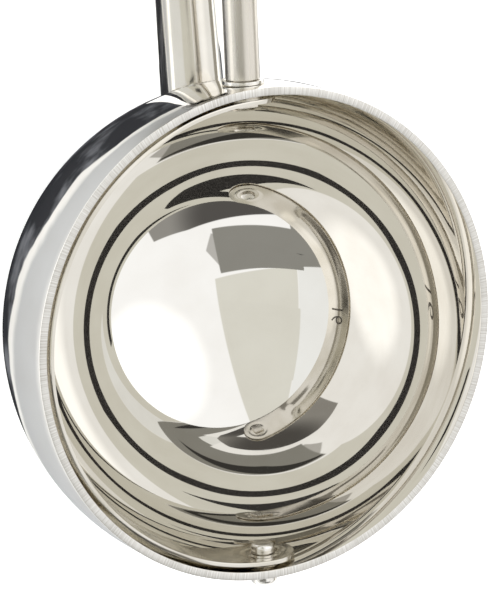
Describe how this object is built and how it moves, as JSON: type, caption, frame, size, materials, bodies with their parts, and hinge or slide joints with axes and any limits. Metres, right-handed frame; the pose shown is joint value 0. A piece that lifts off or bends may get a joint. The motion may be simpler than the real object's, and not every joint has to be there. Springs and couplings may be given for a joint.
{
  "type": "portion scoop",
  "caption": "Round stainless steel portion scoop with a sweeping scraper blade, squeeze lever, crown sector and pinion drive, and a return spring.",
  "frame": {"origin": "centre of the bowl's rim face", "axes": "+Z out of the bowl's mouth, +Y along the handle, -X towards the side where the scraper blade rests"},
  "size_m": [0.0843, 0.2305, 0.0347],
  "materials": {
    "bowl_mirror": "mirror polished stainless steel",
    "blade_steel": "polished sheet, pressed",
    "rivet_steel": "turned and peened",
    "shaft_satin": "satin drawn bar",
    "gear_steel": "machined",
    "bush_bronze": "sintered bronze",
    "tube_polished": "polished tube",
    "weld_ground": "ground weld",
    "plate_brushed": "brushed sheet",
    "spring_wire": "drawn wire"
  },
  "bodies": {
    "frame": {"bowl": "bowl_mirror", "far_pivot_pin": "rivet_steel", "far_pivot_spacer": "rivet_steel", "thrust_washer": "rivet_steel", "shaft_bush": "bush_bronze", "shank_tube": "tube_polished", "shank_weld": "weld_ground", "bracket": "plate_brushed", "bracket_welds": "weld_ground", "lever_rivet": "rivet_steel", "lever_washer": "rivet_steel", "stop_pin": "rivet_steel", "fixed_handle": "tube_polished", "handle_collar": "tube_polished", "handle_end_cap": "tube_polished", "hanging_eye": "plate_brushed", "return_spring": "spring_wire"},
    "lever": {"lever_hub": "gear_steel", "lever_plate": "plate_brushed", "crown_sector": "gear_steel", "lever_tube": "tube_polished", "lever_tube_rivets": "rivet_steel", "lever_front_cap": "tube_polished", "lever_end_cap": "tube_polished", "return_spring_leg": "spring_wire"},
    "scraper": {"scraper_blade": "blade_steel", "drive_shaft": "shaft_satin", "drive_spacer": "rivet_steel", "pinion": "gear_steel", "pinion_cross_pin": "rivet_steel", "retaining_clip": "rivet_steel"}
  },
  "joints": [
    {"name": "lever_squeeze", "type": "hinge", "parent": "frame", "child": "lever", "pos_m": [0, 0.05, -0.0125], "axis": [0, 0, -1], "range_deg": [0, 16], "stiffness_Nm_per_rad": 0.6, "springref_deg": -20.05, "deforming": ["return_spring"]},
    {"name": "scraper_turn", "type": "hinge", "parent": "frame", "child": "scraper", "pos_m": [0, 0, -0.0042], "axis": [0, -1, 0], "range_deg": [0, 176]}
  ],
  "couplings": [
    {"joint": "scraper_turn", "follows": "lever_squeeze", "ratio": 11}
  ]
}
